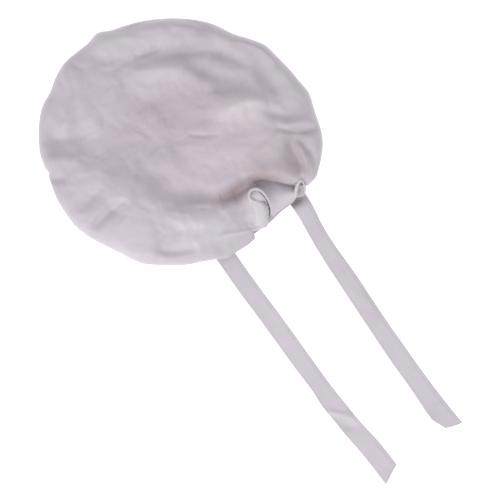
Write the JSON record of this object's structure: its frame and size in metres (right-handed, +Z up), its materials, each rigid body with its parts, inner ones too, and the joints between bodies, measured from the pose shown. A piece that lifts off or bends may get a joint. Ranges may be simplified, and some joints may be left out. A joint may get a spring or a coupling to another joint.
{
  "type": "silk sleep bonnet",
  "caption": "Round gathered silk bonnet with a puffy crown, plain face band, pleated elastic nape and long flat ties, lying crown up.",
  "frame": {"origin": "bottom centre of the bounding box of the bonnet and its ties, on the surface that they lie on", "axes": "+Z up from that surface, +Y from the ends of the ties over the nape towards the forehead, +X across the head so that the frame is right-handed"},
  "size_m": [0.32, 0.6382, 0.0389],
  "materials": {
    "silk": "pale mauve-grey silk satin with a soft sheen",
    "silk_band": "pale mauve-grey silk satin, doubled",
    "silk_tie": "pale mauve-grey silk satin, doubled and pressed flat"
  },
  "bodies": {
    "root": {"crown": "silk", "front_band": "silk_band", "nape_casing": "silk", "left_tie": "silk_tie", "right_tie": "silk_tie"}
  },
  "joints": []
}
